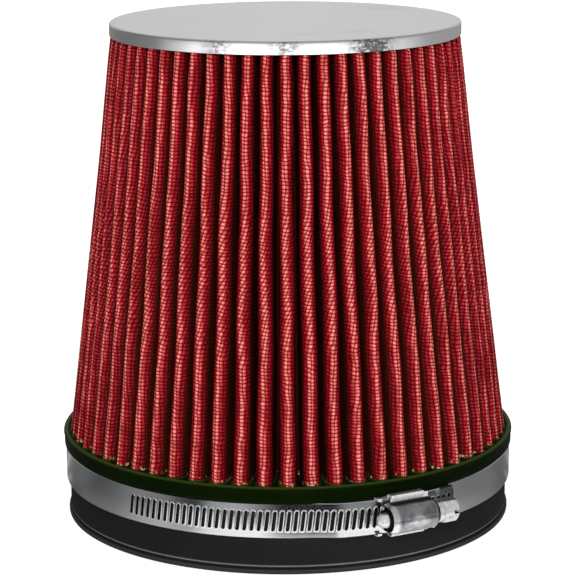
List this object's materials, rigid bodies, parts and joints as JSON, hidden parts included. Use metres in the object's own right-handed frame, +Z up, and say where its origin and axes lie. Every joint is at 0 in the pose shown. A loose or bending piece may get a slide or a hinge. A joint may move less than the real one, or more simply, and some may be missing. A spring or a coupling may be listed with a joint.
{
  "type": "cone air filter",
  "caption": "Clamp-on conical air filter: deep red pleated gauze between a polished metal cap and a dark moulded ring, on a black rubber neck with a worm-drive clamp.",
  "frame": {"origin": "centre of the neck's mouth, on the face that the filter stands on", "axes": "+Z runs up the filter's axis from the mouth to the cap; -Y is the front, from which the clamp's head is a little to the right"},
  "size_m": [0.1716, 0.1747, 0.1866],
  "materials": {
    "polished_cap": "polished, with faint handling marks",
    "potting": "matt cast urethane",
    "red_screen": "red woven wire screen over oiled gauze",
    "oiled_gauze": "oiled woven cotton",
    "bare_screen": "bare woven wire screen",
    "green_urethane": "smooth cast urethane, dark green",
    "black_rubber": "satin black moulded rubber",
    "band_steel": "bright rolled stainless strip",
    "screw_steel": "bright zinc-plated steel"
  },
  "bodies": {
    "filter": {"top_cap": "polished_cap", "top_potting": "potting", "outer_screen": "red_screen", "cotton_gauze": "oiled_gauze", "inner_screen": "bare_screen", "seam_clip": "bare_screen", "end_ring": "green_urethane", "neck_sleeve": "black_rubber"},
    "clamp_head": {"clamp_saddle": "band_steel", "clamp_housing": "band_steel"},
    "band": {"clamp_band": "band_steel"},
    "screw": {"worm_screw": "screw_steel"}
  },
  "joints": [
    {"name": "clamp_swivel", "type": "hinge", "parent": "filter", "child": "clamp_head", "pos_m": [0, 0, 0.02005], "axis": [0, 0, 1], "continuous": true},
    {"name": "band_feed", "type": "hinge", "parent": "clamp_head", "child": "band", "pos_m": [0, 0, 0.02005], "axis": [0, 0, 1], "range_deg": [-6.89, 6.89]},
    {"name": "screw_turn", "type": "hinge", "parent": "clamp_head", "child": "screw", "pos_m": [0.043, -0.07986, 0.02005], "axis": [-0.8805, -0.4741, 0], "range_deg": [-1440, 1440]}
  ],
  "couplings": [
    {"joint": "screw_turn", "follows": "band_feed", "ratio": 208.92}
  ]
}
